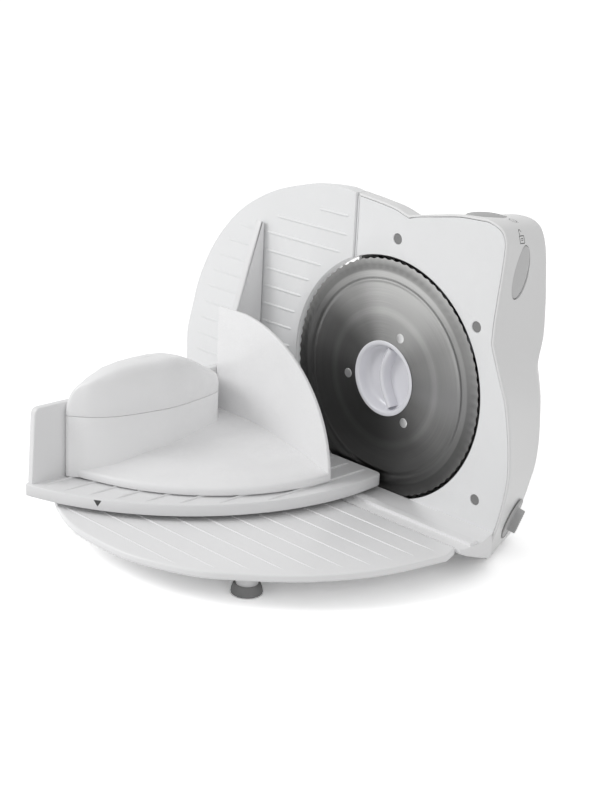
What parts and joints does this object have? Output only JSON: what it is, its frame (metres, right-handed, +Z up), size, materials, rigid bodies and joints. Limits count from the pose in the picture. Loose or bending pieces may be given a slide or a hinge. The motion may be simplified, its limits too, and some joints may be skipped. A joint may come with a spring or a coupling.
{
  "type": "electric meat slicer",
  "caption": "White electric food slicer with a round blade, sliding food carriage, folding tray, food holder and thickness dial.",
  "frame": {"origin": "middle of the bounding box on the table the slicer stands on", "axes": "+X to the right along the blade, +Y from the tray back into the housing, +Z up"},
  "size_m": [0.3264, 0.2776, 0.2342],
  "materials": {
    "white_plastic": "satin moulded, faint cool white",
    "lock_plastic": "satin, pale lilac grey",
    "grey_plastic": "matte mid grey",
    "blade_steel": "turned and polished, bevel brighter",
    "rivet_steel": "polished",
    "gear_nylon": "natural nylon",
    "screw_steel": "zinc plated",
    "shaft_steel": "ground",
    "bush_brass": "sintered",
    "motor_can": "satin",
    "switch_black": "matte",
    "foot_rubber": "matte grey"
  },
  "bodies": {
    "housing": {"rear_housing": "white_plastic", "front_plate": "white_plastic", "plate_plugs": "grey_plastic", "plate_screws": "screw_steel", "ledge": "white_plastic", "ledge_screws": "screw_steel", "tray": "white_plastic", "hinge_pins": "rivet_steel", "tray_foot_stems": "white_plastic", "tray_foot_rubbers": "foot_rubber", "housing_feet": "foot_rubber", "blade_spindle": "shaft_steel", "motor": "motor_can", "motor_bracket": "screw_steel", "motor_screws": "screw_steel", "worm_bush": "bush_brass", "cable_gland": "foot_rubber", "top_switch": "switch_black", "side_switch": "switch_black"},
    "blade_wheel": {"blade": "blade_steel", "blade_rivets": "rivet_steel", "blade_gear": "gear_nylon"},
    "lock": {"blade_lock": "lock_plastic"},
    "worm_shaft": {"motor_shaft": "shaft_steel", "worm": "shaft_steel"},
    "stop": {"stop_plate": "white_plastic", "stop_carrier": "gear_nylon", "guide_pins": "screw_steel", "carrier_screws": "screw_steel"},
    "dial": {"thickness_dial": "grey_plastic", "dial_cam": "gear_nylon"},
    "food_carriage": {"carriage": "white_plastic", "carriage_runner": "gear_nylon"},
    "food_holder": {"pusher": "white_plastic", "pusher_cap": "white_plastic"},
    "button_top": {"top_button": "grey_plastic"},
    "button_side": {"side_button": "grey_plastic"}
  },
  "joints": [
    {"name": "blade_spin", "type": "hinge", "parent": "housing", "child": "blade_wheel", "pos_m": [0.0465, 0.07575, 0.106], "axis": [0, 1, 0], "continuous": true},
    {"name": "lock_turn", "type": "hinge", "parent": "blade_wheel", "child": "lock", "pos_m": [0.0465, 0.07575, 0.106], "axis": [0, 1, 0], "range_deg": [0, 45]},
    {"name": "worm_spin", "type": "hinge", "parent": "housing", "child": "worm_shaft", "pos_m": [0.0975, 0.09775, 0.106], "axis": [0, 0.1111, 0.9938], "continuous": true},
    {"name": "stop_slide", "type": "slide", "parent": "housing", "child": "stop", "axis": [0, 1, 0], "range_m": [0, 0.015]},
    {"name": "dial_turn", "type": "hinge", "parent": "housing", "child": "dial", "pos_m": [0.1445, 0.10875, 0.024], "axis": [0.8751, 0.3521, -0.3319], "range_deg": [0, 300]},
    {"name": "carriage_slide", "type": "slide", "parent": "housing", "child": "food_carriage", "axis": [1, 0, 0], "range_m": [-0.04, 0.11]},
    {"name": "pusher_slide", "type": "slide", "parent": "food_carriage", "child": "food_holder", "axis": [0, 1, 0], "range_m": [-0.02, 0.038]},
    {"name": "top_press", "type": "slide", "parent": "housing", "child": "button_top", "axis": [0, 0, -1], "range_m": [0, 0.0025], "stiffness_N_per_m": 300, "springref_m": -0.003},
    {"name": "side_press", "type": "slide", "parent": "housing", "child": "button_side", "axis": [-1, 0, 0], "range_m": [0, 0.0025], "stiffness_N_per_m": 300, "springref_m": -0.003}
  ],
  "couplings": [
    {"joint": "worm_spin", "follows": "blade_spin", "ratio": -42},
    {"joint": "dial_turn", "follows": "stop_slide", "rad_per_m": 349.07}
  ]
}
